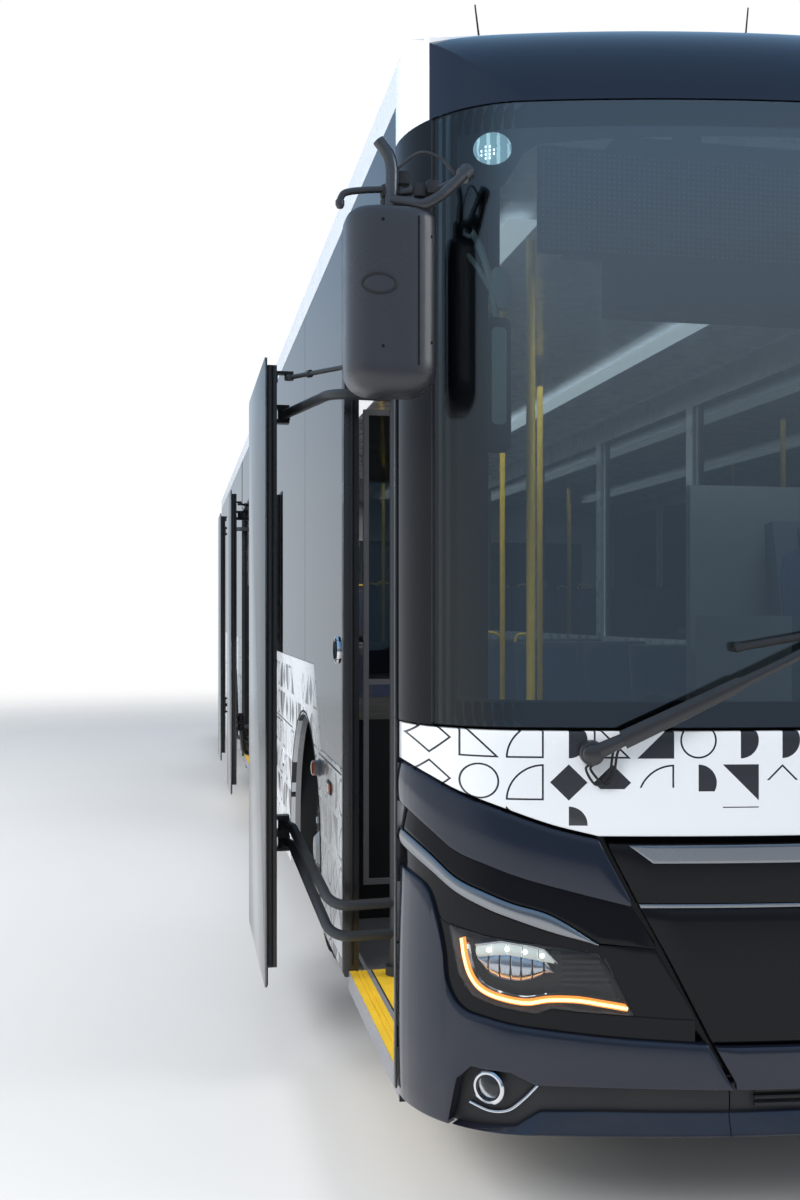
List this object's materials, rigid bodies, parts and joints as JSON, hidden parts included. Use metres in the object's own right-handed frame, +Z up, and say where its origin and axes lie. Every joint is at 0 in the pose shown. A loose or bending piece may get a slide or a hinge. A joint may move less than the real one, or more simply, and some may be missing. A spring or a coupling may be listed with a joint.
{
  "type": "low-entry city bus",
  "caption": "Two-axle low-entry city bus with outward-swinging glazed doors on the kerb side, shown open, on single front and twin rear wheels.",
  "frame": {"origin": "on the road under the middle of the bus", "axes": "+X forward, +Y to the driver's side (left), +Z up"},
  "size_m": [12.2562, 3.021, 3.2258],
  "materials": {
    "body_white": "gloss",
    "body_dark": "gloss metallic",
    "trim_black": "gloss",
    "charcoal": "satin",
    "clear_glass": "clear",
    "tinted_glass": "dark tint",
    "lamp": "clear",
    "black_plastic": "moulded",
    "grey_plastic": "moulded",
    "floor_vinyl": "speckled",
    "yellow_floor": "grained",
    "frame_paint": "matt",
    "axle_iron": "cast",
    "tyre_rubber": "tread",
    "bellows_rubber": "matt",
    "wheel_steel": "silver",
    "seat_fabric": "woven",
    "rail_steel": "gloss yellow",
    "engine_iron": "cast"
  },
  "bodies": {
    "root": {"air_springs": "bellows_rubber", "bumper_centre": "trim_black", "bumper_corners": "body_dark", "cab_partition": "grey_plastic", "cabin_floor": "floor_vinyl", "chassis_frame": "frame_paint", "chassis_rear": "frame_paint", "dashboard": "black_plastic", "door_gear": "charcoal", "door_thresholds": "yellow_floor", "driver_seat": "seat_fabric", "engine_block": "engine_iron", "front_axle": "axle_iron", "front_frame": "trim_black", "front_panel": "body_white", "handrails": "rail_steel", "lamps": "lamp", "mirrors": "black_plastic", "rear_axle": "axle_iron", "rear_wall": "body_white", "roof_front_cap": "body_dark", "roof_panel": "body_white", "roof_unit": "body_white", "seats": "grey_plastic", "side_wall_left": "body_white", "side_wall_right": "body_white", "sign_box": "black_plastic", "wheel_housings": "black_plastic", "windows": "tinted_glass", "windscreen": "clear_glass", "wipers": "black_plastic"},
    "knuckle_right": {"knuckle_right": "axle_iron"},
    "wheel_front_right": {"wheel_front_right": "wheel_steel", "tyre_front_right": "tyre_rubber"},
    "wheels_rear_right": {"wheels_rear_right": "wheel_steel", "tyres_rear_right": "tyre_rubber"},
    "knuckle_left": {"knuckle_left": "axle_iron"},
    "wheel_front_left": {"wheel_front_left": "wheel_steel", "tyre_front_left": "tyre_rubber"},
    "wheels_rear_left": {"wheels_rear_left": "wheel_steel", "tyres_rear_left": "tyre_rubber"},
    "front_door_arms": {"front_door_arms": "charcoal"},
    "front_door_leaf": {"front_door_leaf": "charcoal"},
    "front_door_rod": {"front_door_rod": "charcoal"},
    "middle_door_front_arms": {"middle_door_front_arms": "charcoal"},
    "middle_door_front_leaf": {"middle_door_front_leaf": "charcoal"},
    "middle_door_front_rod": {"middle_door_front_rod": "charcoal"},
    "middle_door_rear_arms": {"middle_door_rear_arms": "charcoal"},
    "middle_door_rear_leaf": {"middle_door_rear_leaf": "charcoal"},
    "middle_door_rear_rod": {"middle_door_rear_rod": "charcoal"},
    "steering_wheel": {"steering_wheel": "black_plastic"},
    "cab_door": {"cab_door": "grey_plastic"},
    "engine_lid": {"engine_lid": "body_white"},
    "roof_hatch_front": {"roof_hatch_front": "grey_plastic"},
    "roof_hatch_rear": {"roof_hatch_rear": "grey_plastic"},
    "fuel_flap": {"fuel_flap": "body_white"}
  },
  "joints": [
    {"name": "steer_left", "type": "hinge", "parent": "root", "child": "knuckle_left", "pos_m": [3.475, 0.88, 0.48], "axis": [0, 0, 1], "range_deg": [-40, 40]},
    {"name": "steer_right", "type": "hinge", "parent": "root", "child": "knuckle_right", "pos_m": [3.475, -0.88, 0.48], "axis": [0, 0, 1], "range_deg": [-40, 40]},
    {"name": "roll_front_left", "type": "hinge", "parent": "knuckle_left", "child": "wheel_front_left", "pos_m": [3.475, 1.0325, 0.48], "axis": [0, 1, 0], "continuous": true},
    {"name": "roll_front_right", "type": "hinge", "parent": "knuckle_right", "child": "wheel_front_right", "pos_m": [3.475, -1.0325, 0.48], "axis": [0, 1, 0], "continuous": true},
    {"name": "roll_rear_left", "type": "hinge", "parent": "root", "child": "wheels_rear_left", "pos_m": [-2.65, 0.876, 0.48], "axis": [0, 1, 0], "continuous": true},
    {"name": "roll_rear_right", "type": "hinge", "parent": "root", "child": "wheels_rear_right", "pos_m": [-2.65, -0.876, 0.48], "axis": [0, 1, 0], "continuous": true},
    {"name": "steering_wheel_turn", "type": "hinge", "parent": "root", "child": "steering_wheel", "pos_m": [5.318, 0.62, 1.178], "axis": [-0.6561, 0, 0.7547], "range_deg": [-640, 640]},
    {"name": "front_door_swing", "type": "hinge", "parent": "root", "child": "front_door_arms", "pos_m": [4.79, -1.115, 1.3], "axis": [0, 0, 1], "range_deg": [0, 134.32]},
    {"name": "front_door_leaf_pivot", "type": "hinge", "parent": "front_door_arms", "child": "front_door_leaf", "pos_m": [4.37, -1.445, 1.3], "axis": [0, 0, 1], "range_deg": [-134.32, 0]},
    {"name": "front_door_rod_swing", "type": "hinge", "parent": "root", "child": "front_door_rod", "pos_m": [4.98, -1.115, 2.318], "axis": [0, 0, 1], "range_deg": [0, 134.32]},
    {"name": "middle_door_front_swing", "type": "hinge", "parent": "root", "child": "middle_door_front_arms", "pos_m": [-0.26, -1.115, 1.3], "axis": [0, 0, 1], "range_deg": [-127.6, 0]},
    {"name": "middle_door_front_leaf_pivot", "type": "hinge", "parent": "middle_door_front_arms", "child": "middle_door_front_leaf", "pos_m": [0.021, -1.365, 1.3], "axis": [0, 0, 1], "range_deg": [0, 127.6]},
    {"name": "middle_door_front_rod_swing", "type": "hinge", "parent": "root", "child": "middle_door_front_rod", "pos_m": [-0.4, -1.115, 2.318], "axis": [0, 0, 1], "range_deg": [-127.6, 0]},
    {"name": "middle_door_rear_swing", "type": "hinge", "parent": "root", "child": "middle_door_rear_arms", "pos_m": [-1.34, -1.115, 1.3], "axis": [0, 0, 1], "range_deg": [0, 127.6]},
    {"name": "middle_door_rear_leaf_pivot", "type": "hinge", "parent": "middle_door_rear_arms", "child": "middle_door_rear_leaf", "pos_m": [-1.621, -1.365, 1.3], "axis": [0, 0, 1], "range_deg": [-127.6, 0]},
    {"name": "middle_door_rear_rod_swing", "type": "hinge", "parent": "root", "child": "middle_door_rear_rod", "pos_m": [-1.2, -1.115, 2.318], "axis": [0, 0, 1], "range_deg": [0, 127.6]},
    {"name": "cab_door_hinge", "type": "hinge", "parent": "root", "child": "cab_door", "pos_m": [4.42, 0.121, 1], "axis": [0, 0, -1], "range_deg": [0, 85]},
    {"name": "engine_lid_hinge", "type": "hinge", "parent": "root", "child": "engine_lid", "pos_m": [-6.1065, 0, 1.333], "axis": [0, 1, 0], "range_deg": [0, 80]},
    {"name": "roof_hatch_front_hinge", "type": "hinge", "parent": "root", "child": "roof_hatch_front", "pos_m": [4.518, 0, 3.0163], "axis": [0, 1, 0], "range_deg": [0, 25]},
    {"name": "roof_hatch_rear_hinge", "type": "hinge", "parent": "root", "child": "roof_hatch_rear", "pos_m": [-3.532, 0, 3.0163], "axis": [0, 1, 0], "range_deg": [0, 25]},
    {"name": "fuel_flap_hinge", "type": "hinge", "parent": "root", "child": "fuel_flap", "pos_m": [2.56, -1.2815, 0.77], "axis": [0, 0, 1], "range_deg": [0, 100]}
  ],
  "couplings": [
    {"joint": "steer_right", "follows": "steer_left", "ratio": 1},
    {"joint": "steering_wheel_turn", "follows": "steer_left", "ratio": 15},
    {"joint": "front_door_leaf_pivot", "follows": "front_door_swing", "ratio": -1},
    {"joint": "front_door_rod_swing", "follows": "front_door_swing", "ratio": 1},
    {"joint": "middle_door_front_leaf_pivot", "follows": "middle_door_front_swing", "ratio": -1},
    {"joint": "middle_door_front_rod_swing", "follows": "middle_door_front_swing", "ratio": 1},
    {"joint": "middle_door_rear_leaf_pivot", "follows": "middle_door_rear_swing", "ratio": -1},
    {"joint": "middle_door_rear_rod_swing", "follows": "middle_door_rear_swing", "ratio": 1}
  ]
}
